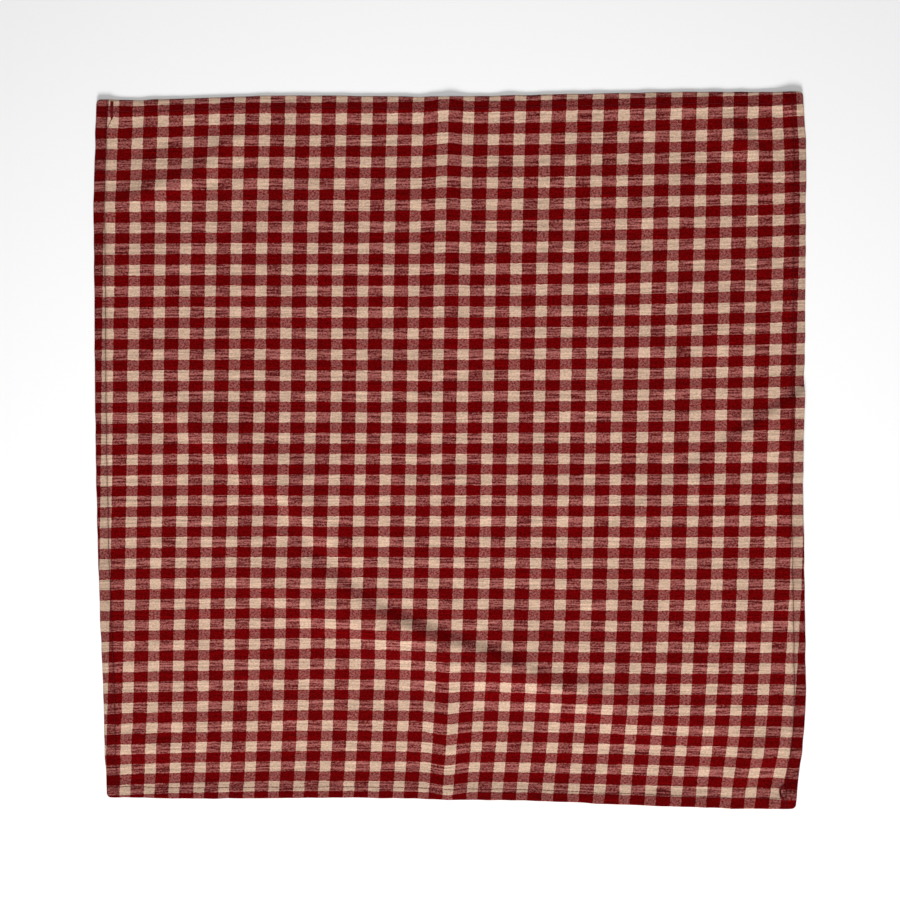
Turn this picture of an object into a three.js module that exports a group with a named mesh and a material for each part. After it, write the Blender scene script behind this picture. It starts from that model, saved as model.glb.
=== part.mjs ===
// A square check cotton cloth, hemmed on all four sides and lying flat.
//
// Millimetres. +Z is up, +Y runs from the front edge to the back edge, and the
// origin is under the middle of the cloth, on the surface it lies on.
//
// "Inset" always means the distance in from the cloth's outer fold. Each hem is
// drawn as the cloth's cross-section at that edge: the cloth comes to the outer
// fold, turns under, runs back to the inner fold, and turns in again to its raw
// edge. The front and back hems were sewn first. The left and right hems are
// folded over their ends, so everything above them lies higher at the corners.

import * as THREE from "three";

const SIDE = 457;
const CLOTH = 0.45;
const AIR = 0.05;

const HEM_WIDTH = 8.5;
const SEAM_INSET = 7.5;
const RAW_EDGE_INSET = 1.6;
const PANEL_INSET = 1.3;
const JOIN_GAP = 0.05;

// Where the cloth comes down off a hem on to the surface it lies on.
const EASE_START_INSET = HEM_WIDTH + 0.3;
const EASE_LENGTH = 8;
const EASE_STEPS = 6;

const THREAD_RADIUS = 0.14;
const THREAD_SIDES = 8;
const THREAD_CLEARANCE = 0.02;
const THREAD_END_INSET = PANEL_INSET + 0.1;

// The stitches pull a small channel into the cloth, and the thread lies in it.
const CHANNEL_DEPTH = 2 * THREAD_RADIUS + THREAD_CLEARANCE;
const CHANNEL_FLOOR = THREAD_RADIUS + 0.06;
const CHANNEL_MOUTH = CHANNEL_FLOOR + 0.06;

// A side seam's upper thread steps over the seam it crosses at each corner.
const CROSSING_FLAT = 0.25;
const CROSSING_REACH = 1.4;
const CROSSING_STEP = 2 * THREAD_RADIUS + THREAD_CLEARANCE;

const OUTER_FOLD_STEPS = 8;
const INNER_FOLD_STEPS = 6;

const LAYER_PITCH = CLOTH + AIR;
const HEM_LAYERS = 2;
const HEM_HEIGHT = HEM_LAYERS * LAYER_PITCH;
const FACE_HEIGHT = HEM_HEIGHT + CLOTH;
const OUTER_FOLD_RADIUS = FACE_HEIGHT / 2;
const INNER_FOLD_RADIUS = (LAYER_PITCH + CLOTH) / 2;
const HALF = SIDE / 2;

const COTTON = { color: 0x8a4844, roughness: 0.92, metalness: 0 };
const THREAD = { color: 0x5c1014, roughness: 0.6, metalness: 0 };

const insetOf = (along) => HALF - Math.abs(along);

// How far the cloth above a side hem is lifted, at a given inset.
function liftAt(inset) {
  const t = THREE.MathUtils.clamp((inset - EASE_START_INSET) / EASE_LENGTH, 0, 1);
  return HEM_HEIGHT * (1 - THREE.MathUtils.smoothstep(t, 0, 1));
}

// How far the channel under a stitch line is pulled in, at a given inset.
function channelAt(inset) {
  const off = Math.abs(inset - SEAM_INSET);
  const depth = (CHANNEL_MOUTH - off) / (CHANNEL_MOUTH - CHANNEL_FLOOR);
  return CHANNEL_DEPTH * THREE.MathUtils.clamp(depth, 0, 1);
}

// Insets at which the cloth's height changes slope.
function easeInsets() {
  const insets = [];
  for (let step = 0; step <= EASE_STEPS; step += 1) {
    insets.push(EASE_START_INSET + (EASE_LENGTH * step) / EASE_STEPS);
  }
  return insets;
}

// Positions along an edge, from one end to the other, for a list of insets.
function positionsFor(insets) {
  const near = [...insets].sort((a, b) => a - b).map((inset) => inset - HALF);
  const far = near.map((along) => -along).reverse();
  return [...near, 0, ...far];
}

// The woven field: a thin box whose grid is carried over the hems below it.
function panelGeometry() {
  const channel = [
    SEAM_INSET - CHANNEL_MOUTH,
    SEAM_INSET - CHANNEL_FLOOR,
    SEAM_INSET + CHANNEL_FLOOR,
    SEAM_INSET + CHANNEL_MOUTH,
  ];
  const lines = positionsFor([PANEL_INSET, ...channel, ...easeInsets()]);
  const cells = lines.length - 1;
  const geometry = new THREE.BoxGeometry(1, 1, 1, cells, cells, 1);
  const points = geometry.attributes.position;
  for (let i = 0; i < points.count; i += 1) {
    const x = lines[Math.round((points.getX(i) + 0.5) * cells)];
    const y = lines[Math.round((points.getY(i) + 0.5) * cells)];
    const under = liftAt(insetOf(x)) + liftAt(insetOf(y));
    const face = under + CLOTH - Math.max(channelAt(insetOf(x)), channelAt(insetOf(y)));
    points.setXYZ(i, x, y, points.getZ(i) > 0 ? face : under);
  }
  return geometry;
}

// Points on an arc about a fold, both ends included, as [inset, height].
function foldArc(inset, height, radius, fromDeg, toDeg, steps) {
  const arc = [];
  for (let step = 0; step <= steps; step += 1) {
    const angle = THREE.MathUtils.degToRad(fromDeg + ((toDeg - fromDeg) * step) / steps);
    arc.push([inset + radius * Math.cos(angle), height + radius * Math.sin(angle)]);
  }
  return arc;
}

// The hem's cross-section: underside, inner fold, turned-in layer, outer fold.
function hemSection() {
  const outer = OUTER_FOLD_RADIUS;
  const inner = INNER_FOLD_RADIUS;
  const innerCentre = HEM_WIDTH - inner;
  const turnedUnder = LAYER_PITCH;
  const legEnd = PANEL_INSET - JOIN_GAP;
  return [
    [SEAM_INSET - CHANNEL_MOUTH, 0],
    [SEAM_INSET - CHANNEL_FLOOR, CHANNEL_DEPTH],
    [SEAM_INSET + CHANNEL_FLOOR, CHANNEL_DEPTH],
    [SEAM_INSET + CHANNEL_MOUTH, 0],
    ...foldArc(innerCentre, inner, inner, -90, 90, INNER_FOLD_STEPS),
    [RAW_EDGE_INSET, turnedUnder + CLOTH],
    [RAW_EDGE_INSET, turnedUnder],
    ...foldArc(innerCentre, inner, inner - CLOTH, 90, -90, 2),
    ...foldArc(outer, outer, outer - CLOTH, 270, 90, OUTER_FOLD_STEPS),
    [legEnd, HEM_HEIGHT],
    [legEnd, FACE_HEIGHT],
    ...foldArc(outer, outer, outer, 90, 270, OUTER_FOLD_STEPS),
  ];
}

function threadSection(centreHeight) {
  const ring = foldArc(SEAM_INSET, centreHeight, THREAD_RADIUS, 0, 360, THREAD_SIDES);
  return ring.slice(0, THREAD_SIDES);
}

// Carries a section along the front edge. "raise" says how far a point of the
// section at that inset and height is lifted where it is "along" the edge.
function sweep(section, positions, raise) {
  const shape = new THREE.Shape(section.map(([inset, height]) => new THREE.Vector2(inset, height)));
  const steps = positions.length - 1;
  const geometry = new THREE.ExtrudeGeometry(shape, { depth: 1, steps, bevelEnabled: false });
  const points = geometry.attributes.position;
  for (let i = 0; i < points.count; i += 1) {
    const inset = points.getX(i);
    const height = points.getY(i);
    const along = positions[Math.round(points.getZ(i) * steps)];
    points.setXYZ(i, along, inset - HALF, height + raise(inset, height, along));
  }
  return geometry;
}

// The ends of the first two hems ride up over the side hems.
const raiseWhole = (inset, height, along) => liftAt(insetOf(along));

// A side hem stays down, and only its outer fold reaches up to the raised face.
function raiseOuterFold(inset, height, along) {
  const upperFold = inset < PANEL_INSET && height > OUTER_FOLD_RADIUS + AIR;
  return upperFold ? liftAt(insetOf(along)) : 0;
}

// A side seam's upper thread follows the face and steps over the crossing seam.
function raiseOverCrossing(inset, height, along) {
  const off = Math.abs(insetOf(along) - SEAM_INSET);
  const near = THREE.MathUtils.clamp((CROSSING_REACH - off) / (CROSSING_REACH - CROSSING_FLAT), 0, 1);
  return liftAt(insetOf(along)) + CROSSING_STEP * near;
}

const stayDown = () => 0;

const NEEDLE_HEIGHT = FACE_HEIGHT - CHANNEL_DEPTH + THREAD_CLEARANCE + THREAD_RADIUS;
const BOBBIN_HEIGHT = CHANNEL_DEPTH - THREAD_CLEARANCE / 2 - THREAD_RADIUS;

const threadPositions = positionsFor([THREAD_END_INSET, ...easeInsets()]);
const crossingPositions = positionsFor([
  THREAD_END_INSET,
  SEAM_INSET - CROSSING_REACH,
  SEAM_INSET - CROSSING_FLAT,
  SEAM_INSET + CROSSING_FLAT,
  SEAM_INSET + CROSSING_REACH,
  ...easeInsets().slice(1),
]);
const firstHemPositions = positionsFor([PANEL_INSET, ...easeInsets()]);
const sideHemPositions = positionsFor([0, ...easeInsets()]);

// The order of sewing decides what lies over what.
const SEWN_FIRST = {
  hem: () => sweep(hemSection(), firstHemPositions, raiseWhole),
  needle: () => sweep(threadSection(NEEDLE_HEIGHT), threadPositions, raiseWhole),
  bobbin: () => sweep(threadSection(BOBBIN_HEIGHT), threadPositions, raiseWhole),
};
const SEWN_LAST = {
  hem: () => sweep(hemSection(), sideHemPositions, raiseOuterFold),
  needle: () => sweep(threadSection(NEEDLE_HEIGHT), crossingPositions, raiseOverCrossing),
  bobbin: () => sweep(threadSection(BOBBIN_HEIGHT), threadPositions, stayDown),
};

const EDGES = [
  { name: "front", turnDeg: 0, sewn: SEWN_FIRST },
  { name: "back", turnDeg: 180, sewn: SEWN_FIRST },
  { name: "right", turnDeg: 90, sewn: SEWN_LAST },
  { name: "left", turnDeg: -90, sewn: SEWN_LAST },
];

const cloth = new THREE.Group();

function add(name, geometry, material) {
  const mesh = new THREE.Mesh(geometry, new THREE.MeshStandardMaterial(material));
  mesh.name = name;
  cloth.add(mesh);
}

add("cloth_panel", panelGeometry(), COTTON);
for (const { name, turnDeg, sewn } of EDGES) {
  const turn = THREE.MathUtils.degToRad(turnDeg);
  add(`${name}_hem`, sewn.hem().rotateZ(turn), COTTON);
  add(`${name}_needle_thread`, sewn.needle().rotateZ(turn), THREAD);
  add(`${name}_bobbin_thread`, sewn.bobbin().rotateZ(turn), THREAD);
}

export default cloth;
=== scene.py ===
"""A square check cotton cloth with hems on all four sides, lying flat on a pale floor.

Metres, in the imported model's frame: +Z up, +Y from the front edge to the back edge.

Every piece is first made "as sewn": flat, with its layers stacked on the floor. lay()
then gives it the outline and the creases that the cloth has where it lies. woven() says
where each point was in the flat uncut cloth, and the check, the yarns and the slubs
follow that, so they carry on round every fold.
"""

import math

import bpy
import numpy as np
from mathutils import Matrix, Vector


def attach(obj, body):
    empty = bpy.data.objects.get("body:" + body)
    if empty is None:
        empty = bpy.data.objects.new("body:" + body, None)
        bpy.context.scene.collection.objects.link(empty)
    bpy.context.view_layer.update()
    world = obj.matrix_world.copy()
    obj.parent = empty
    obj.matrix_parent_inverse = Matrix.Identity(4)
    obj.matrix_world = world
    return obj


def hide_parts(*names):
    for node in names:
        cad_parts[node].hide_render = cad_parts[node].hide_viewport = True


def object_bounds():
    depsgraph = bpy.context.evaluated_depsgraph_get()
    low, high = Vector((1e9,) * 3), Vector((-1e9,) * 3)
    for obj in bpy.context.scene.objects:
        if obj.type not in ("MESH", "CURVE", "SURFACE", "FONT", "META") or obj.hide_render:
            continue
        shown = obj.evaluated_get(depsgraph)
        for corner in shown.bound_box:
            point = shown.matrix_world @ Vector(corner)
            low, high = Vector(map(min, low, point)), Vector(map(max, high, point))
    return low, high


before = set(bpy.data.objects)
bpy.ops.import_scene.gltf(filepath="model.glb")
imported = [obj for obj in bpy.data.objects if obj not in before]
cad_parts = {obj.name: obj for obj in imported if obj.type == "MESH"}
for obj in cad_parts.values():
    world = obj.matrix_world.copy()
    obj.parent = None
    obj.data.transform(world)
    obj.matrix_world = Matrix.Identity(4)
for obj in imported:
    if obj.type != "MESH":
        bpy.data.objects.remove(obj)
cad_low, cad_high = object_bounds()

MM = 0.001

# ---------------------------------------------------------------- camera

LOOK_AT = Vector((0.0021, 0.0025, 0.0))
CAMERA_DISTANCE = 0.75
CAMERA_LEAN_X = 0.042  # how far the camera leans from straight above, as a share of its distance
CAMERA_LEAN_Y = 0.047
VIEW_WIDTH = 0.5844  # what the picture spans at the cloth
SENSOR_WIDTH = 36  # millimetres


def make_camera():
    back = Vector((CAMERA_LEAN_X, CAMERA_LEAN_Y, 1.0)).normalized()
    right = Vector((0, 1, 0)).cross(back).normalized()
    up = back.cross(right)
    camera = bpy.data.objects.new("camera", bpy.data.cameras.new("camera"))
    bpy.context.collection.objects.link(camera)
    turn = Matrix((right, up, back)).transposed().to_4x4()
    camera.matrix_world = Matrix.Translation(LOOK_AT + back * CAMERA_DISTANCE) @ turn
    camera.data.type = "PERSP"
    camera.data.sensor_width = SENSOR_WIDTH
    camera.data.lens = SENSOR_WIDTH * CAMERA_DISTANCE / VIEW_WIDTH
    camera.data.clip_start = 0.01
    bpy.context.scene.camera = camera


make_camera()

# ---------------------------------------------------------------- sizes as sewn

HALF = (cad_high.x - cad_low.x) / 2
CLOTH = 0.45 * MM
PITCH = 0.5 * MM  # one layer of cloth and the air above it
HEM_HEIGHT = 2 * PITCH
HEM_WIDTH = 8.5 * MM
SEAM = 7.5 * MM  # from the edge, as every place across a hem is
RAW_EDGE = 1.7 * MM
FOLD = 1.0 * MM  # how far the outer fold bulges beyond the face
LIP = 0.5 * MM  # how far the folded face carries on underneath, up to the hem's own piece
HEM_GAP = 0.05 * MM  # between the lip and the hem's own piece
CORNER = 1.8 * MM  # radius of the face's corners
OUTER_TURN = 2.7 * MM  # cloth used up in going round the outer fold
INNER_TURN = 0.75 * MM  # and round the inner one
FACE_RING_STEPS = 8
BACK_RING_STEPS = 6
INNER_FOLD_STEPS = 6
HEM_STATIONS = 236

# Where the cloth comes down off a hem: part of the height at once, the rest slowly.
EASE_START = HEM_WIDTH + 0.3 * MM
EASE_LENGTH = 11 * MM
FIRST_DROP = 2.6 * MM
FIRST_DROP_SHARE = 0.45

# How deep the stitches pull the cloth in: on the face at the left and right, on the face
# at the front and back, and on the underside of every hem.
SIDE_CHANNEL = 0.18 * MM
END_CHANNEL = 0.07 * MM
UNDER_CHANNEL = 0.5 * SIDE_CHANNEL
CHANNEL_WIDTH = 0.6 * MM
PUCKER_DEPTH = 0.11 * MM
PUCKER_REACH = 5 * MM

THREAD_RADIUS = 0.15 * MM
STITCH = 2.6 * MM
STITCH_POINTS = 8
STITCH_CROWN = 0.2 * THREAD_RADIUS  # how far a thread's middle stands out between two holes
UPPER_DIP = 0.25 * MM  # how far it goes down into a hole
LOWER_DIP = 0.3 * MM
SEAM_END = 1.6 * MM
CROSSING_HEIGHT = 0.2 * MM  # how far a thread rises over the seam that it crosses
CROSSING_WIDTH = 0.6 * MM

# How far each edge is turned from the front one, in degrees.
EDGES = {"front": 0, "right": 90, "back": 180, "left": 270}
SEWN_FIRST = ("front", "back")


def smooth(t):
    """Eases from 0 to 1 as t goes from 0 to 1."""
    t = np.clip(t, 0, 1)
    return t * t * (3 - 2 * t)


def through(stations, t):
    """A smooth curve through (place, value) pairs."""
    places, values = np.array(stations, float).T
    slopes = np.gradient(values, places)
    cell = np.clip(np.searchsorted(places, t) - 1, 0, len(places) - 2)
    gap = places[cell + 1] - places[cell]
    u = np.clip((t - places[cell]) / gap, 0, 1)
    start = (1 + 2 * u) * (1 - u) ** 2 * values[cell] + u * (1 - u) ** 2 * gap * slopes[cell]
    end = u**2 * (3 - 2 * u) * values[cell + 1] + u**2 * (u - 1) * gap * slopes[cell + 1]
    return start + end


def swell(seed, t, longest, shortest, count=7):
    """A soft random line, between about -1 and 1, with waves between two lengths."""
    draw = np.random.default_rng(seed)
    lengths = np.geomspace(longest, shortest, count)
    phases = draw.uniform(0, 2 * math.pi, count)
    heights = draw.uniform(0.5, 1.0, count)
    waves = [h * np.sin(2 * math.pi * t / l + p) for l, p, h in zip(lengths, phases, heights)]
    return sum(waves) / heights.sum() * 1.6


def inset(across):
    """How far in from the nearer of two opposite edges a place is."""
    return HALF - np.abs(across)


def seen_from_edges(x, y):
    """For each edge, how far towards it and how far along it every point is."""
    return (x, y), (-x, y), (y, x), (-y, x)


def lift(across):
    """How far a hem under this place lifts what lies on it."""
    beyond = inset(across) - EASE_START
    first, rest = smooth(beyond / FIRST_DROP), smooth(beyond / EASE_LENGTH)
    return HEM_HEIGHT * (1 - FIRST_DROP_SHARE * first - (1 - FIRST_DROP_SHARE) * rest)


def near_seam(across):
    """1 on a seam, fading to 0 on both sides of it."""
    return np.exp(-(((inset(across) - SEAM) / CHANNEL_WIDTH) ** 2))


def channel(x, y):
    """How far the stitches pull the face in."""
    return np.maximum(SIDE_CHANNEL * near_seam(x), END_CHANNEL * near_seam(y))


# ---------------------------------------------------------------- how the cloth lies

# Crest of the long ridge that crosses the cloth, the foot of the rise behind it, and
# the lines of two lesser steps.
LONG_CREST = [(-0.150, -0.062), (-0.115, -0.085), (-0.081, -0.098), (-0.047, -0.112),
              (-0.013, -0.125), (0.020, -0.136), (0.054, -0.146), (0.088, -0.155),
              (0.139, -0.170), (0.180, -0.181), (0.236, -0.188)]
LONG_RISE = [(-0.135, -0.023), (-0.096, -0.060), (-0.056, -0.093), (-0.011, -0.115),
             (0.035, -0.130), (0.080, -0.147), (0.133, -0.155), (0.175, -0.163)]
LEFT_STEP = [(-0.240, 0.055), (-0.190, 0.026), (-0.162, 0.007), (-0.144, -0.0055),
             (-0.126, -0.0205), (-0.110, -0.032), (-0.093, -0.0465), (-0.080, -0.060),
             (-0.058, -0.081)]
RIGHT_STEP = [(0.236, 0.048), (0.2045, 0.027), (0.165, -0.001), (0.126, -0.030), (0.100, -0.055)]

PATH_STEPS = 160

# Heights in millimetres along each of them, from its start (0) to its end (1).
CREST_BASE = [(0, 0), (0.10, 1.4), (0.26, 2.0), (0.37, 0.9), (0.46, 1.2), (0.54, 2.4),
              (0.64, 2.4), (0.76, 2.2), (0.87, 0.7), (1, 0)]
CREST_RISE = [(0, 0), (0.15, 1.3), (0.30, 2.9), (0.45, 3.8), (0.58, 3.2), (0.73, 2.4),
              (0.88, 0.8), (1, 0)]
LEFT_DROP = [(0, 0), (0.25, 1.0), (0.40, 3.0), (0.50, 4.0), (0.69, 4.3), (0.80, 3.9),
             (0.90, 2.3), (1, 0)]
RIGHT_DROP = [(0, 3.0), (0.24, 2.8), (0.5, 1.4), (0.85, 1.2), (1, 0)]
RISE_WIDTH = 11 * MM
FALL_WIDTH = 29 * MM
CREST_SHELF = 20 * MM  # how far behind the crest the cloth stays up
CREST_REACH = 55 * MM  # and the distance over which it then comes down
LEFT_STEP_WIDTH = 11 * MM
LEFT_STEP_REACH = 45 * MM
RIGHT_STEP_WIDTH = 8 * MM
RIGHT_STEP_REACH = 60 * MM

# The pressed fold down the middle: its height in millimetres from front to back, where it
# crosses the middle of the cloth, how far it leans, and how round and how wide it is.
FOLD_RIDGE = [(-0.229, 1.5), (-0.185, 2.2), (-0.13, 1.0), (-0.07, 0.6), (0.02, 0.7),
              (0.10, 0.8), (0.17, 1.2), (0.229, 1.3)]
FOLD_OFFSET = 0.2 * MM
FOLD_LEAN = 0.004
FOLD_ROUND = 1.6 * MM
FOLD_REACH = 9 * MM

# Wrinkles near the corners, then faint creases that pressing has not taken out. Each has
# its middle and the way its front faces, in degrees, and then in millimetres how far it
# rises behind, falls away in front and runs to either side, and how high it stands.
WRINKLES = [(-0.190, 0.170, -72, 8, 9, 34, 2.6), (-0.194, 0.186, -72, 6, 12, 22, 0.9),
            (-0.144, 0.196, -52, 8, 7, 24, 1.6), (-0.196, 0.205, -70, 7, 6, 26, 0.7),
            (0.187, 0.199, -135, 8, 8, 22, 3.0), (0.214, 0.224, -135, 7, 6, 14, 1.3),
            (0.201, -0.196, -45, 8, 12, 24, 2.6), (0.222, -0.221, -45, 6, 8, 12, 1.8),
            (-0.203, -0.194, -110, 10, 11, 22, 1.3), (0.108, -0.012, -92, 5, 22, 48, 0.5),
            (-0.030, -0.020, -88, 4, 15, 26, 0.35), (0.060, -0.056, -96, 5, 16, 24, 0.35)]

# Slow waves all over: their seed, how fast they go along x and along y, and in millimetres
# their height, their longest length and their shortest.
SLOW_WAVES = [(11, 0.12, 1, 0.20, 80, 20), (13, -0.25, 1, 0.10, 40, 11),
              (12, 1, -0.2, 0.16, 120, 30)]
EDGE_WAVE = 0.30 * MM
EDGE_WAVE_REACH = 11 * MM
SETTLED = 0.25 * MM  # heights below about this are eased off, so none is below the floor


def along_path(path, x, y):
    """For each point, how far along the path (0 to 1) it is, and how far to the path's right."""
    points = np.array(path)
    count = len(points)
    fine = np.linspace(0, count - 1, PATH_STEPS)
    ends = np.vstack([2 * points[0] - points[1], points, 2 * points[-1] - points[-2]])
    cell = np.minimum(fine.astype(int), count - 2)
    t = (fine - cell)[:, None]
    a, b, c, d = (ends[cell + k] for k in range(4))
    curve = 0.5 * (2 * b + (c - a) * t + (2 * a - 5 * b + 4 * c - d) * t**2
                   + (3 * b - a - 3 * c + d) * t**3)
    step = np.diff(curve, axis=0)
    length = np.hypot(*step.T)
    travelled = np.concatenate([[0], np.cumsum(length)])
    nearest = np.full(x.shape, np.inf)
    progress, side = np.zeros(x.shape), np.zeros(x.shape)
    for start, move, long, before in zip(curve, step, length, travelled):
        dx, dy = x - start[0], y - start[1]
        share = np.clip((dx * move[0] + dy * move[1]) / long**2, 0, 1)
        off = np.hypot(dx - share * move[0], dy - share * move[1])
        closer = off < nearest
        nearest = np.where(closer, off, nearest)
        progress = np.where(closer, (before + share * long) / travelled[-1], progress)
        side = np.where(closer, np.sign(dx * move[1] - dy * move[0]) * off, side)
    return progress, side


def step_down(off, width, reach):
    """1 on the high side of a crease, fading back over reach, and 0 beyond it."""
    drop = 1 - smooth(off / width + 0.5)
    return drop * np.exp(-np.maximum(-off - width, 0) / reach)


def wrinkle(x, y, middle_x, middle_y, heading, rise, fall, along, height):
    """The height of one soft ridge, whose numbers are a row of WRINKLES."""
    angle = math.radians(heading)
    dx, dy = x - middle_x, y - middle_y
    ahead = dx * math.cos(angle) + dy * math.sin(angle)
    aside = dy * math.cos(angle) - dx * math.sin(angle)
    width = np.where(ahead < 0, rise, fall) * MM
    return height * MM * np.exp(-((ahead / width) ** 2) - (aside / (along * MM)) ** 2)


def relief(x, y):
    """How far the cloth stands off the floor."""
    t, off = along_path(LONG_CREST, x, y)
    fall = 1 - smooth(np.clip(off / FALL_WIDTH, 0, 1) ** 0.8)
    behind = fall * np.exp(-np.maximum(-off - CREST_SHELF, 0) / CREST_REACH)
    high = through(CREST_BASE, t) * MM * behind
    t, off = along_path(LONG_RISE, x, y)
    high += through(CREST_RISE, t) * MM * smooth(off / RISE_WIDTH + 0.5) * fall

    t, off = along_path(LEFT_STEP, x, y)
    high += through(LEFT_DROP, t) * MM * step_down(off, LEFT_STEP_WIDTH, LEFT_STEP_REACH)
    t, off = along_path(RIGHT_STEP, x, y)
    high += through(RIGHT_DROP, t) * MM * step_down(off, RIGHT_STEP_WIDTH, RIGHT_STEP_REACH)

    away = np.abs(x - FOLD_OFFSET - FOLD_LEAN * y)
    crest = np.exp(-(np.hypot(away, FOLD_ROUND) - FOLD_ROUND) / FOLD_REACH)
    high += through(FOLD_RIDGE, y) * MM * crest

    for row in WRINKLES:
        high += wrinkle(x, y, *row)
    for seed, along_x, along_y, height, longest, shortest in SLOW_WAVES:
        place = along_x * x + along_y * y
        high += height * MM * swell(seed, place, longest * MM, shortest * MM)
    for number, (towards, along) in enumerate(seen_from_edges(x, y)):
        near = np.exp(-np.maximum(HALF - towards, 0) / EDGE_WAVE_REACH)
        high += EDGE_WAVE * near * swell(20 + number, along, 46 * MM, 15 * MM)
    return 0.5 * (high + np.sqrt(high**2 + SETTLED**2))


# How far each edge lies from a straight line, in millimetres, along that edge.
LEFT_EDGE = [(-0.229, 0.6), (-0.165, 0.5), (-0.105, -1.1), (-0.012, -2.3), (0.05, -2.2),
             (0.112, -1.7), (0.165, -1.3), (0.195, -0.1), (0.229, 0.2)]
RIGHT_EDGE = [(-0.229, 0.4), (-0.208, 0.8), (-0.19, 2.2), (-0.16, 3.9), (-0.12, 3.1),
              (-0.07, 1.7), (-0.01, -0.2), (0.05, 0.0), (0.08, 0.1), (0.13, -0.3),
              (0.19, -0.7), (0.229, -1.0)]
FRONT_EDGE = [(-0.229, -0.6), (-0.19, -1.2), (-0.14, -0.6), (-0.08, 0.8), (-0.046, 1.2), (0, 0.9),
              (0.05, 0.8), (0.08, 0.3), (0.10, -0.5), (0.16, -1.9), (0.19, -2.5), (0.229, -1.7)]
BACK_EDGE = [(-0.229, 0.6), (-0.2, 0.3), (-0.165, 0.9), (-0.12, 2.0), (-0.08, 1.8), (-0.04, 0.9),
             (0, 0.2), (0.05, 0.7), (0.1, 1.2), (0.165, 1.5), (0.2, 0.9), (0.229, 0.7)]

# Each corner's sides, how far it is drawn in across the cloth, and over what distance.
CORNER_TUCKS = [(-1, 1, 1.5 * MM, 16 * MM), (1, 1, 2.6 * MM, 20 * MM),
                (-1, -1, 1.4 * MM, 22 * MM), (1, -1, 2.0 * MM, 20 * MM)]


def edge_shift(stations, seed, along):
    """How far an edge lies from a straight line, small waves included."""
    return through(stations, along) * MM + 0.2 * MM * swell(seed, along, 60 * MM, 14 * MM)


def outline(x, y):
    """Moves the square cloth's points sideways to the outline that it lies in."""
    left = edge_shift(LEFT_EDGE, 31, y)
    right = edge_shift(RIGHT_EDGE, 32, y)
    front = edge_shift(FRONT_EDGE, 33, x)
    back = edge_shift(BACK_EDGE, 34, x)
    right_share = smooth((x + HALF) / (2 * HALF))
    back_share = smooth((y + HALF) / (2 * HALF))
    moved_x = x + left * (1 - right_share) + right * right_share
    moved_y = y + front * (1 - back_share) + back * back_share
    return moved_x, moved_y


def tucked(x, y):
    """Draws each corner in a little."""
    moved = x
    for side, end, pull, reach in CORNER_TUCKS:
        near = np.exp(-((HALF - side * x) ** 2 + (HALF - end * y) ** 2) / reach**2)
        moved = moved - side * pull * near
    return moved, y


def lay(points):
    """Takes points as sewn to where they are on the cloth as it lies."""
    x, y = tucked(*outline(points[:, 0], points[:, 1]))
    return np.column_stack([x, y, points[:, 2] + relief(x, y)])


# ---------------------------------------------------------------- the woven check

REPEAT_ACROSS = 16.66 * MM
REPEAT_DOWN = 13.56 * MM
ENDS = 32  # warp yarns in one repeat across
PICKS = 24  # weft yarns in one repeat down
BEIGE_WARP = 14 / ENDS
BEIGE_WEFT = 12 / PICKS

# Repeats are counted from this far left of the cloth's middle and this far behind it.
COUNT_LEFT = 290.1 * MM
COUNT_BEHIND = 295.2 * MM

# How far the pressed fold has dragged the weft along it, in millimetres, from front to
# back, how far to either side the drag reaches, and the cloth hidden in each half of it.
FOLD_DRAG = [(-0.229, -1.9), (-0.198, -1.9), (-0.172, -1.7), (-0.14, -0.5), (-0.08, 0),
             (0.014, 0), (0.134, 0.5), (0.176, 0.95), (0.229, 1.3)]
FOLD_DRAG_REACH = 11 * MM
FOLD_HIDES = 0.25 * MM
FOLD_HALF_WIDTH = 5 * MM

# The long ridge takes up this times its height squared of the cloth, all in metres.
RIDGE_TAKES = 0.026 / MM

# Places where handling has dragged the weave: the middle of each, its reach both ways, and
# how far the weave there has gone to the left and to the back, in millimetres.
DRAGS = [(-0.2285, 0.2285, 0.075, 0.065, 0, -2.5), (0.2285, 0.2285, 0.045, 0.050, 2.6, 0),
         (0.2285, 0.2285, 0.075, 0.070, 0, -1.9), (0.2050, -0.2285, 0.032, 0.036, 2.8, 0.5),
         (0.1100, -0.2285, 0.130, 0.028, 1.0, 0), (0, -0.2285, 0.250, 0.018, 0, 1.3),
         (-0.0300, 0.0600, 0.090, 0.075, 0, -0.6), (-0.1600, -0.1050, 0.075, 0.055, 0.6, 0),
         (-0.0800, 0.0250, 0.055, 0.065, -0.6, 0), (0.2285, 0.0100, 0.040, 0.065, 0.6, 0),
         (0.1320, 0.1350, 0.060, 0.070, -0.5, 0), (0.0450, -0.2285, 0.038, 0.038, 0.9, 0),
         (0.1450, -0.1250, 0.060, 0.050, -0.4, 0), (0.2285, 0.1850, 0.045, 0.060, 0, -0.5),
         (-0.0820, -0.1000, 0.055, 0.050, 0, 0.4), (-0.1500, 0.2050, 0.045, 0.035, 0, 0.5)]


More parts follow.
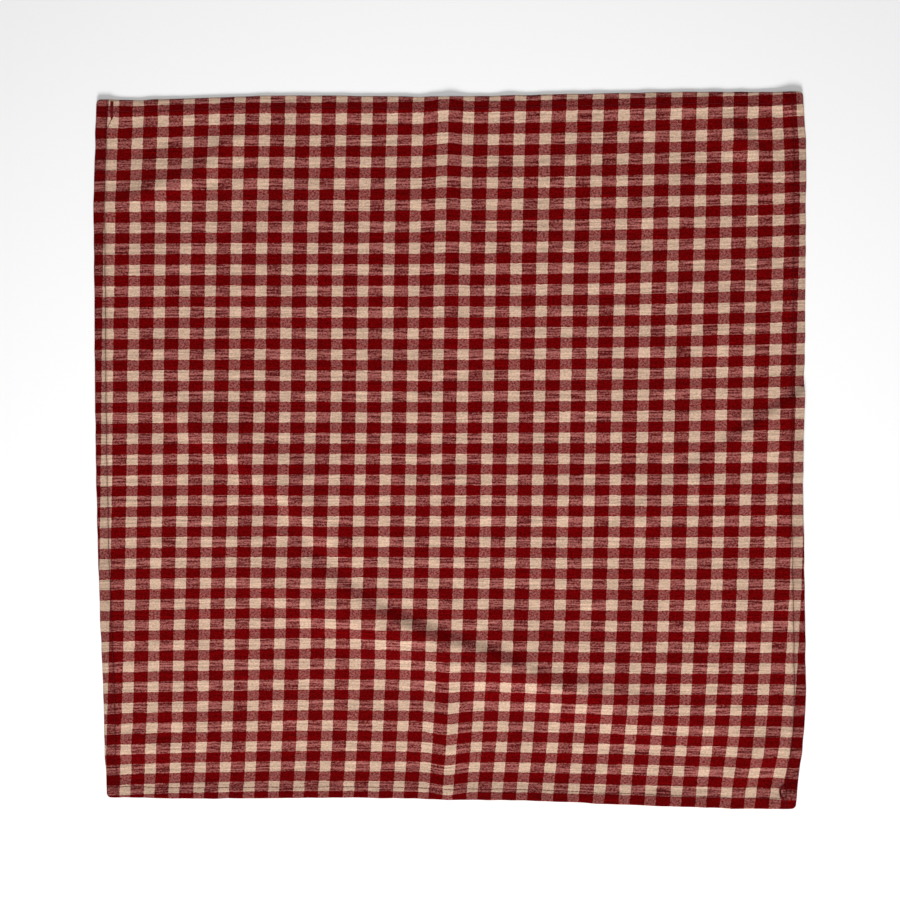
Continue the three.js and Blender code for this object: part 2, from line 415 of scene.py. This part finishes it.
def woven(x, y):
    """Where a point of the laid cloth was on the loom, in repeats of the check.

    Whole numbers fall on the middles of the beige stripes. The cloth was cut a little
    off the grain, washing and pressing have pulled the grain out of straight, and the
    long ridge takes up some of the cloth's length.
    """
    t, off = along_path(LONG_CREST, x, y)
    drop = (through(CREST_BASE, t) + through(CREST_RISE, t)) * MM
    taken_up = RIDGE_TAKES * drop**2 * smooth(off / FALL_WIDTH)
    hidden = FOLD_HIDES * np.tanh(x / FOLD_HALF_WIDTH)
    leftward = 0
    backward = through(FOLD_DRAG, y) * MM * np.exp(-((x / FOLD_DRAG_REACH) ** 2))
    for middle_x, middle_y, reach_x, reach_y, left, back in DRAGS:
        near = np.exp(-(((x - middle_x) / reach_x) ** 2) - ((y - middle_y) / reach_y) ** 2)
        leftward, backward = leftward + left * MM * near, backward + back * MM * near
    # The pull out of straight, in millimetres at the edges, where a and b are 1 or -1.
    a, b = x / HALF, y / HALF
    lean = -4.2 * MM * b + 1.8 * MM * b**2 - 2.7 * MM * b**3
    spread = 0.9 * MM * a + 1.1 * MM * a * b + 1.4 * MM * a * b**2 - 1.2 * MM * a**3
    slope = -0.2 * MM * a - 1.6 * MM * a**3 + 0.2 * MM * a * b
    bow = -0.3 * MM * a**2 - 0.5 * MM * b**2 - 1.0 * MM * b**3 - 3.1 * MM * a**2 * b
    across = (x + lean + spread + hidden + leftward + COUNT_LEFT) / REPEAT_ACROSS
    down = (COUNT_BEHIND - y - slope - bow + taken_up + backward) / REPEAT_DOWN
    return np.column_stack([across, down])


# ---------------------------------------------------------------- mesh helpers


def add_piece(name, points, faces, places, material, seam_shade_mask=None, hem_shade_mask=None):
    """A mesh piece that rides on the cloth.

    For each point, places holds its woven place. The two masks after material hold how far
    stitches pull it in and 1 where a hem lies under it; the cotton uses them for painted shade
    along the seams and over the hems.
    """
    mesh = bpy.data.meshes.new(name)
    mesh.from_pydata(points.tolist(), [], faces)
    mesh.update()
    corners = np.empty(len(mesh.loops), np.int32)
    mesh.loops.foreach_get("vertex_index", corners)
    if places is not None:
        layer = mesh.uv_layers.new(name="woven")
        layer.data.foreach_set("uv", places[corners].astype(np.float32).ravel())
    for attribute, values in (("seam_painted_shade", seam_shade_mask), ("hem_shade_mask", hem_shade_mask)):
        if values is not None:
            layer = mesh.attributes.new(attribute, "FLOAT", "POINT")
            layer.data.foreach_set("value", values.astype(np.float32))
    mesh.polygons.foreach_set("use_smooth", np.ones(len(mesh.polygons), bool))
    mesh.materials.append(material)
    piece = bpy.data.objects.new(name, mesh)
    bpy.context.collection.objects.link(piece)
    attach(piece, "root")
    return piece


def turned(points, degrees):
    """Turns points of the front edge about the middle of the cloth to another edge."""
    angle = math.radians(degrees)
    x, y = points[:, 0].copy(), points[:, 1].copy()
    result = points.copy()
    result[:, 0] = x * math.cos(angle) - y * math.sin(angle)
    result[:, 1] = x * math.sin(angle) + y * math.cos(angle)
    return result


# ---------------------------------------------------------------- the face and its outer folds

FIELD_LINES = 223
HEM_SHADE_FADE = 1.5 * MM


def grid_lines():
    """Grid lines across the cloth: close together over the hem and the seam."""
    border = np.array([1.0, 1.4, 1.9, 2.6, 3.5, 4.6, 5.8, 6.9, 7.2, 7.35, 7.5, 7.65, 7.8, 8.2,
                       9.2, 10.6, 12.2]) * MM
    middle = np.linspace(-HALF + border[-1], HALF - border[-1], FIELD_LINES)
    return np.concatenate([border - HALF, middle[1:-1], (HALF - border)[::-1]])


def round_corner(x, y):
    """Pulls the corners of the face in to a small radius."""
    start = HALF - FOLD - CORNER
    dx = np.clip((np.abs(x) - start) / CORNER, 0, 1)
    dy = np.clip((np.abs(y) - start) / CORNER, 0, 1)
    x = x + np.sign(x) * CORNER * dx * (np.sqrt(1 - dy**2 / 2) - 1)
    y = y + np.sign(y) * CORNER * dy * (np.sqrt(1 - dx**2 / 2) - 1)
    return x, y


def puckers(x, y):
    """Small gathers that the stitches draw up across each seam."""
    total = 0
    for number, (towards, along) in enumerate(seen_from_edges(x, y)):
        from_seam = (HALF - towards - SEAM) / PUCKER_REACH
        depth = PUCKER_DEPTH * (1 + 0.6 * swell(40 + number, along, 70 * MM, 18 * MM))
        gathers = swell(50 + number, along, 8 * MM, 4.6 * MM, 5)
        total = total + depth * np.exp(-(from_seam**2)) * gathers
    return total


def face_height(x, y):
    """The height of the cloth's upper side, as sewn."""
    return lift(x) + lift(y) + CLOTH + puckers(x, y) - channel(x, y)


def back_height(x, y):
    """The height of the cloth's lower side, as sewn."""
    return lift(x) + lift(y) + puckers(x, y)


def grid_faces(count, offset, flipped):
    index = np.arange(count * count).reshape(count, count) + offset
    quads = np.stack([index[:-1, :-1], index[:-1, 1:], index[1:, 1:], index[1:, :-1]], -1)
    quads = quads.reshape(-1, 4)
    return (quads[:, ::-1] if flipped else quads).tolist()


def rim(count):
    """Indices of a square grid's boundary, anticlockwise from the front left corner."""
    index = np.arange(count * count).reshape(count, count)
    return np.concatenate([index[0, :-1], index[:-1, -1], index[-1, :0:-1], index[:0:-1, 0]])


def loop_faces(first, second, flipped):
    """Quads between two closed loops of equal length."""
    quads = np.stack([first, np.roll(first, -1), np.roll(second, -1), second], -1)
    return (quads if flipped else quads[:, ::-1]).tolist()


class Shell:
    """Points gathered loop by loop, as sewn, with their unfolded places."""

    def __init__(self):
        self.points, self.flat, self.faces, self.count = [], [], [], 0

    def add(self, points, flat):
        start = self.count
        self.points.append(points)
        self.flat.append(flat)
        self.count += len(points)
        return np.arange(start, self.count)


def sheet_side(shell, lines, height, thickness, steps, flipped):
    """One side of the face: its grid, the outer fold and the lip underneath."""
    count = len(lines)
    x, y = (g.ravel() for g in np.meshgrid(lines, lines))
    x, y = round_corner(x, y)
    grid = shell.add(np.column_stack([x, y, height(x, y)]), np.column_stack([x, y]))
    shell.faces += grid_faces(count, grid[0], flipped)
    edge = rim(count)
    at = np.column_stack([x[edge], y[edge]])
    corner_start = HALF - FOLD - CORNER
    outward = at - np.clip(at, -corner_start, corner_start)
    outward /= np.linalg.norm(outward, axis=1)[:, None]
    loop = grid[edge]
    middle = (height(at[:, 0], at[:, 1]) + thickness) / 2
    for step in range(1, steps + 1):
        angle = math.pi * step / steps
        reach = (FOLD - thickness) * math.sin(angle)
        z = middle + (middle - thickness) * math.cos(angle)
        used = OUTER_TURN * step / steps
        ring = shell.add(np.column_stack([at + outward * reach, z]), at + outward * used)
        shell.faces += loop_faces(loop, ring, flipped)
        loop = ring
    z = np.full(len(at), thickness)
    ring = shell.add(np.column_stack([at - outward * LIP, z]), at + outward * (OUTER_TURN + LIP))
    shell.faces += loop_faces(loop, ring, flipped)
    return ring


def close_lip(shell, fine, coarse):
    """Joins the fine loop of the face to the back's loop, which has half as many points."""
    for i, inner in enumerate(coarse):
        following = coarse[(i + 1) % len(coarse)]
        a, b, c = fine[2 * i], fine[2 * i + 1], fine[(2 * i + 2) % len(fine)]
        shell.faces += [[int(k) for k in corner] for corner in
                        ((b, a, inner), (c, b, following), (b, inner, following))]


def make_face(material):
    lines = grid_lines()
    shell = Shell()
    fine = sheet_side(shell, lines, face_height, 0.0, FACE_RING_STEPS, flipped=False)
    coarse = sheet_side(shell, lines[::2], back_height, CLOTH, BACK_RING_STEPS, flipped=True)
    close_lip(shell, fine, coarse)
    sewn, flat = np.vstack(shell.points), np.vstack(shell.flat)
    # Painted shade: how far the stitches pull the face in also draws the cloth darker along each
    # seam.
    seam_shade_mask = channel(sewn[:, 0], sewn[:, 1]) / SIDE_CHANNEL
    from_edge = np.minimum(inset(sewn[:, 0]), inset(sewn[:, 1]))
    # Painted shade: 1 over the hems, fading out just inside them, where the cloth is drawn darker.
    hem_shade_mask = 1 - smooth((from_edge - HEM_WIDTH + HEM_SHADE_FADE / 3) / HEM_SHADE_FADE)
    places = woven(*outline(flat[:, 0], flat[:, 1]))
    return add_piece(
        "cloth", lay(sewn), shell.faces, places, material, seam_shade_mask, hem_shade_mask
    )


# ---------------------------------------------------------------- hems


def hem_section():
    """The hem's cross-section under the face: (inset, height, cloth used) round its outline."""
    fold = (PITCH + CLOTH) / 2
    centre = HEM_WIDTH - fold
    start = FOLD + LIP + HEM_GAP
    near_stitches = [SEAM - 0.6 * MM, SEAM - 0.25 * MM, SEAM, SEAM + 0.25 * MM]
    section = [(a, UNDER_CHANNEL * near_seam(HALF - a), OUTER_TURN + a - FOLD)
               for a in (start, 3 * MM, 5 * MM, *near_stitches, centre)]
    before_fold = OUTER_TURN + centre - FOLD
    after_fold = before_fold + INNER_TURN
    for step in range(1, INNER_FOLD_STEPS + 1):
        angle = math.pi * (step / INNER_FOLD_STEPS - 0.5)
        used = before_fold + INNER_TURN * step / INNER_FOLD_STEPS
        section.append((centre + fold * math.cos(angle), fold + fold * math.sin(angle), used))
    turned_in = [6 * MM, 4 * MM, RAW_EDGE]
    section += [(a, PITCH + CLOTH, after_fold + centre - a) for a in turned_in]
    section += [(a, PITCH, after_fold + centre - a) for a in [*reversed(turned_in), centre]]
    section.append((centre + 0.02 * MM, fold, before_fold + 0.4 * MM))
    section += [(a, CLOTH, OUTER_TURN + a - FOLD) for a in (centre, SEAM, 5 * MM, 3 * MM, start)]
    return np.array(section)


def make_hem(edge, material):
    section = hem_section()
    end = HALF - (FOLD + LIP + 0.1 * MM)
    along = np.linspace(-end, end, HEM_STATIONS)
    count, steps = len(section), len(along)
    a, s = np.meshgrid(np.arange(count), along)
    a, s = a.ravel(), s.ravel()
    raised = lift(s) if edge in SEWN_FIRST else 0.0
    at_raw_edge = np.abs(section[a, 0] - RAW_EDGE) < 1e-6
    fray = 0.25 * MM * swell(60, s, 9 * MM, 2.5 * MM) * at_raw_edge
    sewn = np.column_stack([s, section[a, 0] + fray - HALF, section[a, 1] + raised])
    flat = np.column_stack([s, -(HALF - FOLD) - section[a, 2], np.zeros(len(s))])
    sewn, flat = turned(sewn, EDGES[edge]), turned(flat, EDGES[edge])
    sewn[:, 2] += 0.9 * puckers(sewn[:, 0], sewn[:, 1]).clip(0, None)
    index = np.arange(count * steps).reshape(steps, count)
    onward = np.roll(index, -1, axis=1)
    quads = np.stack([index[:-1], index[1:], onward[1:], onward[:-1]], -1).reshape(-1, 4)
    faces = quads.tolist() + [index[0].tolist(), index[-1][::-1].tolist()]
    places = woven(*outline(flat[:, 0], flat[:, 1]))
    return add_piece(f"{edge}_hem_cloth", lay(sewn), faces, places, material)


# ---------------------------------------------------------------- sewing threads


def tube(path, radius, sides=6):
    """Points and faces of a round strand along a path, closed at both ends."""
    path = np.asarray(path)
    tangent = np.gradient(path, axis=0)
    tangent /= np.linalg.norm(tangent, axis=1)[:, None]
    side = np.cross(tangent, [0.0, 0.0, 1.0])
    side /= np.maximum(np.linalg.norm(side, axis=1), 1e-9)[:, None]
    normal = np.cross(side, tangent)
    angles = np.arange(sides) * 2 * math.pi / sides
    rings = [path + radius * (math.cos(t) * side + math.sin(t) * normal) for t in angles]
    points = np.stack(rings, 1).reshape(-1, 3)
    index = np.arange(len(points)).reshape(len(path), sides)
    onward = np.roll(index, -1, axis=1)
    quads = np.stack([index[:-1], onward[:-1], onward[1:], index[1:]], -1).reshape(-1, 4)
    return points, quads[:, ::-1].tolist() + [index[0].tolist(), index[-1][::-1].tolist()]


def stitch_profile(phase, crown, dip):
    """Height of a thread over one stitch: flat on the cloth, then down into each hole."""
    return crown - (crown + dip) * np.abs(2 * (phase % 1) - 1) ** 6


def seam_path(edge, upper):
    """The middle of a seam's thread, as sewn, along the front edge before it is turned."""
    end = HALF - SEAM_END
    along = np.arange(-end, end, STITCH / STITCH_POINTS)
    wander = 0.16 * MM * swell(70 + EDGES[edge], along, 60 * MM, 15 * MM)
    wander += 0.05 * MM * swell(80 + EDGES[edge], along, 9 * MM, 3 * MM)
    phase = along / STITCH
    first = edge in SEWN_FIRST
    if upper:
        depth = END_CHANNEL if first else SIDE_CHANNEL
        height = HEM_HEIGHT + CLOTH - 0.55 * depth + lift(along)
        height += stitch_profile(phase, STITCH_CROWN, UPPER_DIP)
        if not first:
            height += CROSSING_HEIGHT * np.exp(-(((inset(along) - SEAM) / CROSSING_WIDTH) ** 2))
    else:
        height = THREAD_RADIUS - stitch_profile(phase, 0.0, LOWER_DIP)
        if first:
            height += lift(along)
    return np.column_stack([along, SEAM + wander - HALF, height])


def on_face(path):
    """Adds the small gathers of the face under a thread to its height."""
    path = path.copy()
    path[:, 2] += puckers(path[:, 0], path[:, 1])
    return path


TACK_POINTS = 12  # for each zigzag
TACK_CROWN = 0.12 * MM
TACK_DIP = 0.25 * MM
TACK_HEIGHT = 0.16 * MM


def bar_tack(stations, width, passes):
    """Close zigzag stitches that lock a seam's end, along a line on the face."""
    stations = np.array(stations)
    reached = np.concatenate([[0], np.cumsum(np.hypot(*np.diff(stations, axis=0).T))])
    t = np.linspace(0, 1, passes * TACK_POINTS)
    centre = np.column_stack([np.interp(t * reached[-1], reached, stations[:, k]) for k in (0, 1)])
    ahead = np.gradient(centre, axis=0)
    ahead /= np.linalg.norm(ahead, axis=1)[:, None]
    aside = np.column_stack([-ahead[:, 1], ahead[:, 0]])
    swing = np.abs(((t * passes) % 1) * 2 - 1) * 2 - 1
    taper = np.minimum(1, (1 - t) * 5 + 0.2)
    place = centre + (swing * width / 2 * taper)[:, None] * aside
    crown = TACK_CROWN - TACK_DIP * np.abs(swing) ** 6
    z = face_height(place[:, 0], place[:, 1]) + crown + TACK_HEIGHT
    return np.column_stack([place, z])


def make_thread(name, paths, material):
    """One piece made of a strand along each path."""
    points, faces, count = [], [], 0
    for path in paths:
        strand, strand_faces = tube(lay(path), THREAD_RADIUS)
        points.append(strand)
        faces += [[k + count for k in face] for face in strand_faces]
        count += len(strand)
    return add_piece(name, np.vstack(points), faces, None, material)


# Where the ends of the side seams were locked, as sewn.
LEFT_LOCK = [(-HALF + 11.0 * MM, HALF - 1.4 * MM), (-HALF + 10.9 * MM, HALF - 13.0 * MM)]
LEFT_TAIL = [(-HALF + 10.9 * MM, HALF - 12.5 * MM), (-HALF + 9.0 * MM, HALF - 17.0 * MM),
             (-HALF + 7.6 * MM, HALF - 20.0 * MM)]
RIGHT_LOCK = [(HALF - 9.3 * MM, -HALF + 15.6 * MM), (HALF - 11.4 * MM, -HALF + 12.3 * MM),
              (HALF - 10.8 * MM, -HALF + 8.5 * MM), (HALF - 8.7 * MM, -HALF + 6.3 * MM)]
LOCKED_ENDS = {
    "left": [bar_tack(LEFT_LOCK, 2.2 * MM, 26), bar_tack(LEFT_TAIL, 0.3 * MM, 3)],
    "right": [bar_tack(RIGHT_LOCK, 2.0 * MM, 24)],
}

# ---------------------------------------------------------------- materials


class Nodes:
    """Shorthand for building a material's nodes."""

    def __init__(self, name):
        self.material = bpy.data.materials.new(name)
        self.material.use_nodes = True
        self.tree = self.material.node_tree
        self.tree.nodes.clear()

    def node(self, kind, **settings):
        made = self.tree.nodes.new(kind)
        for key, value in settings.items():
            setattr(made, key, value)
        return made

    def feed(self, socket, value):
        if isinstance(value, bpy.types.NodeSocket):
            self.tree.links.new(value, socket)
        else:
            socket.default_value = value

    def math(self, operation, *values):
        made = self.node("ShaderNodeMath", operation=operation)
        for socket, value in zip(made.inputs, values):
            self.feed(socket, value)
        return made.outputs[0]

    def plus(self, first, second):
        return self.math("ADD", first, second)

    def minus(self, first, second):
        return self.math("SUBTRACT", first, second)

    def times(self, first, second):
        return self.math("MULTIPLY", first, second)

    def join(self, x, y, z=0.0):
        made = self.node("ShaderNodeCombineXYZ")
        for socket, value in zip(made.inputs, (x, y, z)):
            self.feed(socket, value)
        return made.outputs[0]

    def noise(self, vector, scale=1.0, detail=2.0, roughness=0.5):
        made = self.node("ShaderNodeTexNoise")
        self.feed(made.inputs["Vector"], vector)
        made.inputs["Scale"].default_value = scale
        made.inputs["Detail"].default_value = detail
        made.inputs["Roughness"].default_value = roughness
        return made.outputs["Fac"]

    def spread(self, value, low, high):
        """Carries 0.3 to 0.7, where most noise lies, to low to high."""
        made = self.node("ShaderNodeMapRange", clamp=False)
        self.feed(made.inputs["Value"], value)
        ends = {"From Min": 0.3, "From Max": 0.7, "To Min": low, "To Max": high}
        for key, number in ends.items():
            made.inputs[key].default_value = number
        return made.outputs[0]

    def mix(self, share, first, second, blend="MIX"):
        made = self.node("ShaderNodeMix", data_type="RGBA", blend_type=blend)
        self.feed(made.inputs["Factor"], share)
        self.feed(made.inputs[6], first)
        self.feed(made.inputs[7], second)
        return made.outputs[2]

    def shaded(self, colour, tone):
        return self.mix(1.0, colour, self.join(tone, tone, tone), "MULTIPLY")

    def bump(self, height, distance, strength):
        made = self.node("ShaderNodeBump")
        made.inputs["Distance"].default_value = distance
        made.inputs["Strength"].default_value = strength
        self.feed(made.inputs["Height"], height)
        return made.outputs[0]

    def principled(self, colour, roughness, **constants):
        """Ends the material, and returns it and its shader."""
        shader = self.node("ShaderNodeBsdfPrincipled")
        self.feed(shader.inputs["Base Color"], colour)
        self.feed(shader.inputs["Roughness"], roughness)
        for key, value in constants.items():
            shader.inputs[key.replace("_", " ")].default_value = value
        output = self.node("ShaderNodeOutputMaterial")
        self.tree.links.new(shader.outputs[0], output.inputs["Surface"])
        return self.material, shader


RED_YARN = (0.113, 0.0003, 0.0008, 1)
BEIGE_YARN = (0.555, 0.377, 0.274, 1)
# What crossing yarns of two colours take from each other, where red and where beige shows.
DEEP_MIX = (0.749, 0.293, 0.357, 1)
PALE_MIX = (0.586, 0.293, 0.357, 1)
THREAD_RED = (0.120, 0.003, 0.006, 1)
FLOOR_PAINT = (0.92, 0.92, 0.92, 1)

STRAY = 0.45  # how far a yarn strays from its place, in yarns
WEAVE_SHARE = 0.22  # how much each crossing's own yarn stands out
SPECKLE_SHARE = 0.68
SLUB_SHARE = 0.70
RED_WEFT_EVENER = 0.42  # how much less the red weft's slubs are
RED_WEFT_SMALLER = 0.04  # how much less of the red weft shows
MOTTLE = 0.26
RED_MOTTLE = 0.32  # this much more where both yarns are red
SLUB_TONE = 0.28
# Painted shade: how much darker the cloth is drawn along a seam and over a hem.
PAINTED_SEAM_SHADE = 0.34  # how much darker the cloth is along a seam
PAINTED_HEM_SHADE = 0.16  # and over a hem


def cotton_material():
    n = Nodes("check_cotton")
    place = n.node("ShaderNodeUVMap", uv_map="woven").outputs[0]
    split = n.node("ShaderNodeSeparateXYZ")
    n.feed(split.inputs[0], place)
    across, down = split.outputs[0], split.outputs[1]

    def weave_noise(per_across, per_down, seed, detail=2.0, roughness=0.5):
        """Noise with so many features in a repeat of the check, each way."""
        where = n.join(n.times(across, per_across), n.times(down, per_down), seed)
        return n.noise(where, 1.0, detail, roughness)

    # Yarns stray a little from their places.
    stray_end = n.spread(weave_noise(2.0, 5.0, 0.0), -STRAY, STRAY)
    stray_pick = n.spread(weave_noise(5.0, 2.0, 7.0), -STRAY, STRAY)
    end = n.plus(n.times(across, ENDS), stray_end)
    pick = n.plus(n.times(down, PICKS), stray_pick)
    end_number, end_share = n.math("FLOOR", end), n.math("FRACT", end)
    pick_number, pick_share = n.math("FLOOR", pick), n.math("FRACT", pick)

    def is_red(number, count, beige):
        centre = n.math("DIVIDE", n.plus(number, 0.5), count)
        from_beige = n.math("PINGPONG", centre, 0.5)
        return n.math("GREATER_THAN", from_beige, beige / 2)

    warp_red = is_red(end_number, ENDS, BEIGE_WARP)
    weft_red = is_red(pick_number, PICKS, BEIGE_WEFT)

    # Slubs: the beige weft is the unevenest yarn, and its thick places run for centimetres.
    along_pick = n.join(n.times(across, 0.8), n.times(pick_number, 3.71))
    one_pick = n.noise(along_pick, 1.0, 3.0, 0.55)
    few_picks = weave_noise(0.7, 9.0, 3.0, 2.0, 0.6)
    thickness = n.plus(n.spread(one_pick, -0.75, 0.75), n.spread(few_picks, -0.62, 0.62))
    slub = n.times(thickness, n.minus(SLUB_SHARE, n.times(weft_red, RED_WEFT_EVENER)))
    speckle = n.spread(weave_noise(13.0, 12.0, 11.0, 2.0, 0.7), -1.0, 1.0)

    # Plain weave: each crossing shows one yarn, and the other shows round its edges.
    over = n.math("MODULO", n.math("ABSOLUTE", n.plus(end_number, pick_number)), 2.0)
    end_dome = n.math("SINE", n.times(end_share, math.pi))
    pick_dome = n.math("SINE", n.times(pick_share, math.pi))
    side = n.minus(n.times(over, 2.0), 1.0)
    crossing = n.times(side, n.times(end_dome, pick_dome))
    even_share = n.minus(0.5, n.times(weft_red, RED_WEFT_SMALLER))
    weft_share = n.plus(n.plus(n.times(crossing, WEAVE_SHARE), even_share), slub)
    weft_share = n.plus(weft_share, n.times(speckle, SPECKLE_SHARE))
    clamp = n.node("ShaderNodeClamp")
    n.feed(clamp.inputs[0], weft_share)
    clamp.inputs["Min"].default_value = 0.05
    clamp.inputs["Max"].default_value = 0.95
    weft_share = clamp.outputs[0]

    warp_colour = n.mix(warp_red, BEIGE_YARN, RED_YARN)
    weft_colour = n.mix(weft_red, BEIGE_YARN, RED_YARN)
    colour = n.mix(weft_share, warp_colour, weft_colour)
    beige_share = n.math("ABSOLUTE", n.minus(weft_share, weft_red))
    mixed = n.math("ABSOLUTE", n.minus(warp_red, weft_red))
    taken = n.mix(beige_share, DEEP_MIX, PALE_MIX)
    colour = n.mix(mixed, colour, n.mix(1.0, colour, taken, "MULTIPLY"))

    # Fibre mottle, slow changes over the whole cloth, and the slubs' light and shade.
    mottle = n.spread(weave_noise(12.0, 12.0, 17.0, 2.0, 0.7), -1.0, 1.0)
    mottle_depth = n.plus(n.times(n.times(warp_red, weft_red), RED_MOTTLE), MOTTLE)
    slow = n.spread(weave_noise(0.30, 0.9, 5.0), 0.95, 1.05)
    tone = n.times(n.plus(n.times(mottle, mottle_depth), 1.0), slow)
    tone = n.times(tone, n.plus(n.times(thickness, SLUB_TONE), 1.0))
    # Painted shade: the cloth is drawn darker along each stitched seam, where its channel lies.
    seam_shade = n.node("ShaderNodeAttribute", attribute_name="seam_painted_shade").outputs["Fac"]
    tone = n.times(tone, n.minus(1.0, n.times(seam_shade, PAINTED_SEAM_SHADE)))
    # Painted shade: the cloth is drawn darker over the hems, where a single layer would let some
    # of a pale table's light through and the hem's three would not.
    hem_shade_mask = n.node("ShaderNodeAttribute", attribute_name="hem_shade_mask").outputs["Fac"]
    tone = n.times(tone, n.minus(1.0, n.times(hem_shade_mask, PAINTED_HEM_SHADE)))

    roughness = n.spread(few_picks, 0.86, 0.95)
    height = n.plus(n.times(crossing, 0.5), n.times(slub, 0.8))
    height = n.plus(height, n.times(speckle, 0.25))
    material, shader = n.principled(n.shaded(colour, tone), roughness,
                                    Specular_IOR_Level=0.01, Sheen_Weight=0.03,
                                    Sheen_Roughness=0.5, Sheen_Tint=(1.0, 0.45, 0.38, 1.0))
    n.feed(shader.inputs["Normal"], n.bump(height, 0.12 * MM, 0.7))
    return material


def thread_material():
    n = Nodes("sewing_thread")
    place = n.node("ShaderNodeTexCoord").outputs["Object"]
    ply = n.noise(place, 2600.0, 2.0)
    patch = n.noise(place, 90.0, 2.0)
    tone = n.times(n.spread(ply, 0.75, 1.25), n.spread(patch, 0.9, 1.1))
    material, shader = n.principled(n.shaded(THREAD_RED, tone), n.spread(ply, 0.5, 0.7),
                                    Specular_IOR_Level=0.06, Sheen_Weight=0.02,
                                    Sheen_Roughness=0.4, Sheen_Tint=(1.0, 0.5, 0.45, 1.0))
    n.feed(shader.inputs["Normal"], n.bump(ply, 0.08 * MM, 0.8))
    return material


def floor_material():
    n = Nodes("floor")
    return n.principled(FLOOR_PAINT, 0.95, Specular_IOR_Level=0.1)[0]


# ---------------------------------------------------------------- build

cotton = cotton_material()
thread = thread_material()

cloth = make_face(cotton)
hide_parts("cloth_panel")
hems, threads = [], []
for edge, degrees in EDGES.items():
    hem = make_hem(edge, cotton)
    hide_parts(f"{edge}_hem")
    hems.append(hem)
    upper = on_face(turned(seam_path(edge, upper=True), degrees))
    needle = make_thread(f"{edge}_upper_stitches", [upper, *LOCKED_ENDS.get(edge, [])], thread)
    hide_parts(f"{edge}_needle_thread")
    lower = turned(seam_path(edge, upper=False), degrees)
    bobbin = make_thread(f"{edge}_lower_stitches", [lower], thread)
    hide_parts(f"{edge}_bobbin_thread")
    threads += [needle, bobbin]

# ---------------------------------------------------------------- floor and light

FLOOR_REACH = 4
# Name, place, size across and power in watts.
LAMPS = [("key", (0.0, -2.84, 1.48), 1.0, 132), ("overhead", (0.0, 0.0, 0.8), 0.45, 2.6)]
SURROUNDING_LIGHT = 0.20


def make_floor():
    mesh = bpy.data.meshes.new("floor")
    corners = [(-1, -1), (1, -1), (1, 1), (-1, 1)]
    points = [(FLOOR_REACH * x, FLOOR_REACH * y, 0) for x, y in corners]
    mesh.from_pydata(points, [], [(0, 1, 2, 3)])
    floor = bpy.data.objects.new("floor", mesh)
    bpy.context.collection.objects.link(floor)
    mesh.materials.append(floor_material())


def make_light(name, place, size, power):
    light = bpy.data.lights.new(name, "AREA")
    light.shape = "DISK"
    light.size = size
    light.energy = power
    lamp = bpy.data.objects.new(name, light)
    lamp.location = place
    lamp.rotation_mode = "QUATERNION"
    lamp.rotation_quaternion = (-Vector(place)).to_track_quat("-Z", "Y")
    bpy.context.collection.objects.link(lamp)


def make_world():
    world = bpy.data.worlds.new("studio")
    world.use_nodes = True
    background = world.node_tree.nodes["Background"]
    background.inputs["Color"].default_value = (1, 1, 1, 1)
    background.inputs["Strength"].default_value = SURROUNDING_LIGHT
    bpy.context.scene.world = world
    bpy.context.scene.view_settings.view_transform = "Standard"


make_floor()
for lamp in LAMPS:
    make_light(*lamp)
make_world()
